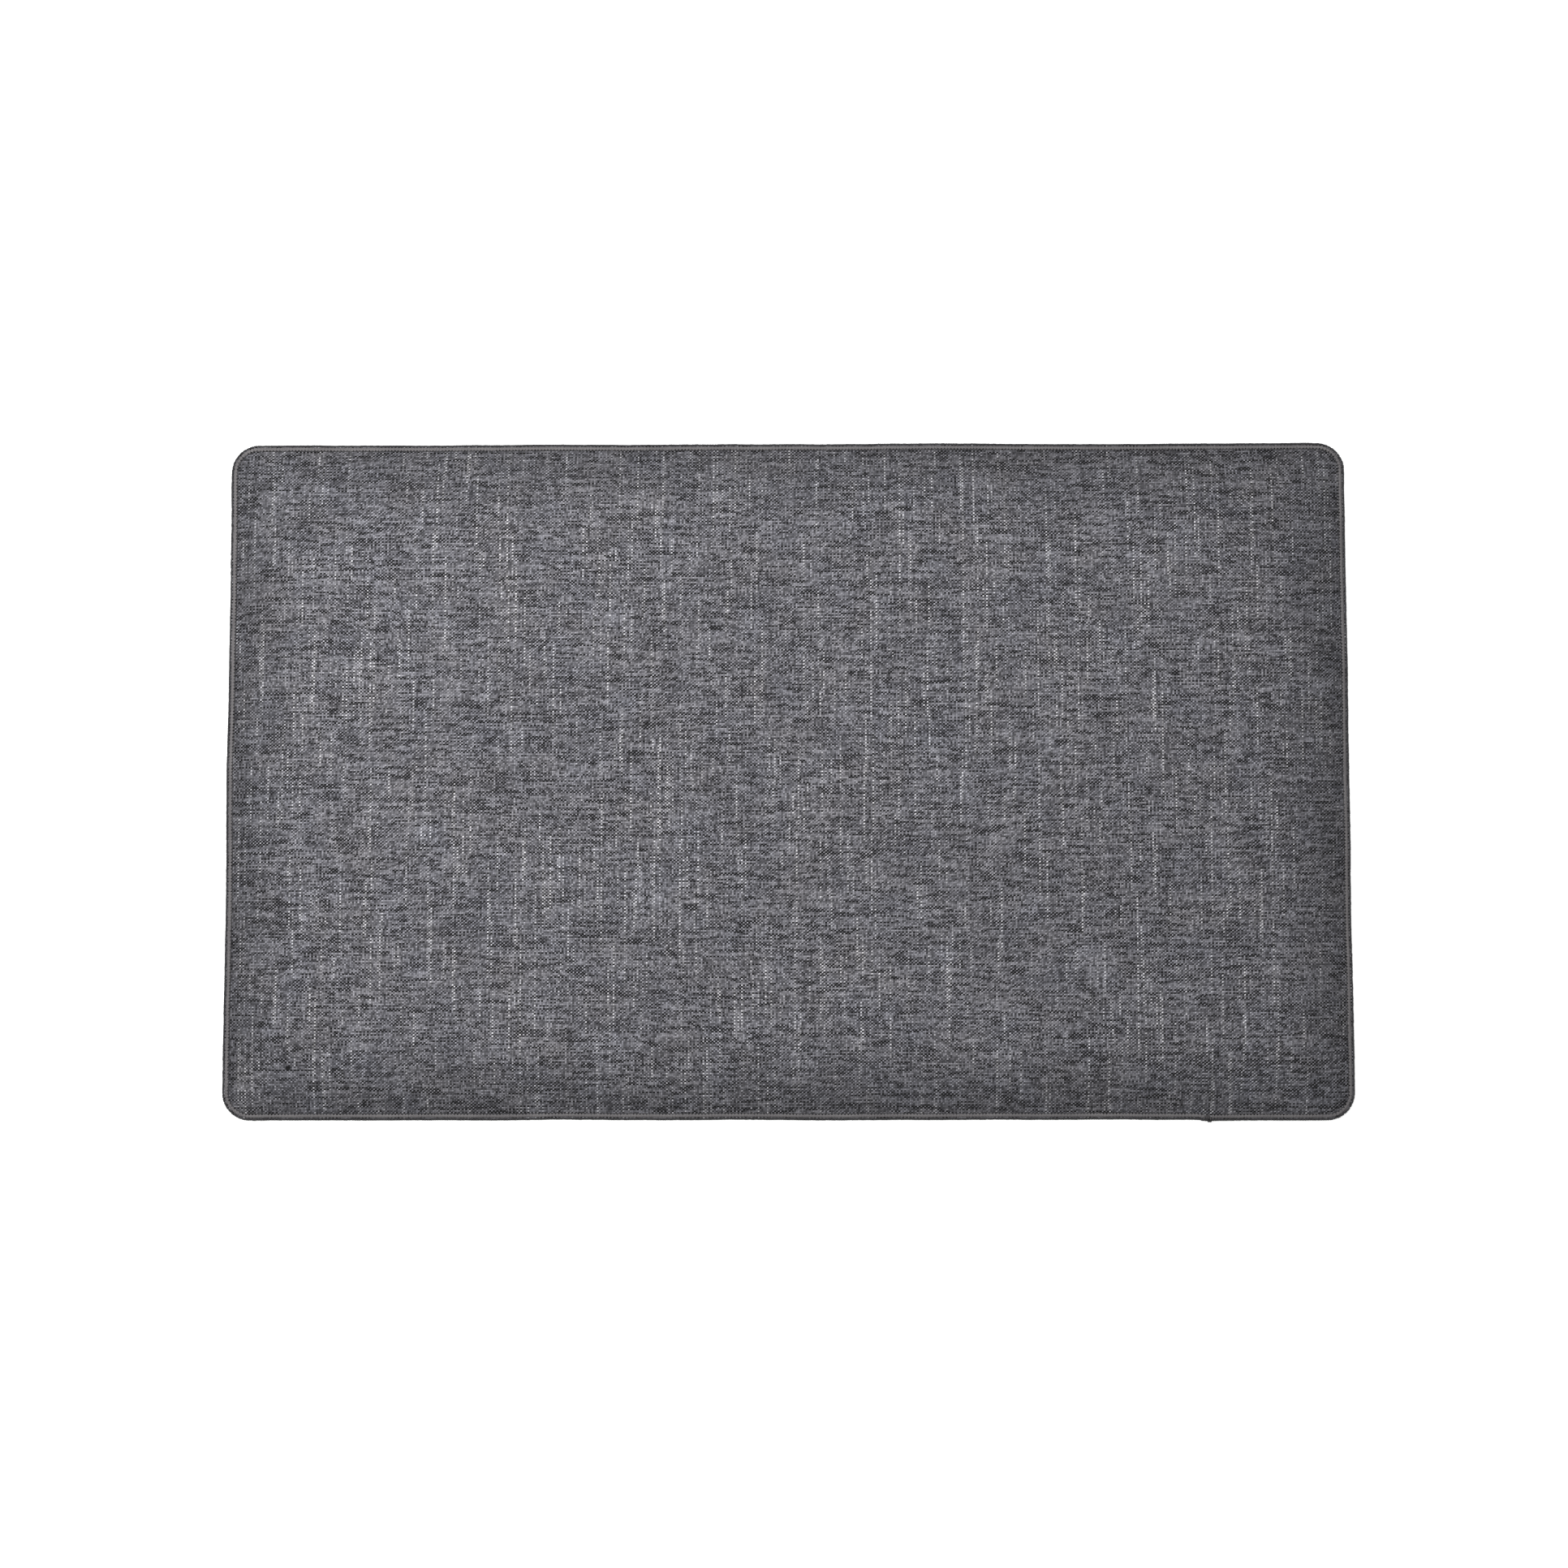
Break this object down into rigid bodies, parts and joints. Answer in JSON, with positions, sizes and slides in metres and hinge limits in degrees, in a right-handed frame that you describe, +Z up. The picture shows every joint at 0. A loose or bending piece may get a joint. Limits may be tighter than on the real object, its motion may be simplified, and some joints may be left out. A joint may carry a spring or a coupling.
{
  "type": "anti fatigue mat",
  "caption": "Rounded rectangular standing mat with a pillowed woven cover over a foam core, a dotted grip base and an overlocked edge.",
  "frame": {"origin": "centre of the mat's plan, on the floor that it lies on", "axes": "+X along the mat's length, +Y from its front edge to its back edge, +Z up"},
  "size_m": [0.762, 0.46, 0.0127],
  "materials": {
    "cover_fabric": "plain-woven slub polyester",
    "bond_film": "hot-melt film",
    "foam": "open-cell foam",
    "grip_base": "moulded, matt",
    "overlock_thread": "textured polyester thread"
  },
  "bodies": {
    "root": {"top_cover": "cover_fabric", "top_bond_film": "bond_film", "foam_core": "foam", "base_bond_film": "bond_film", "grip_base": "grip_base", "needle_thread": "overlock_thread", "upper_looper_thread": "overlock_thread", "lower_looper_thread": "overlock_thread"}
  },
  "joints": []
}
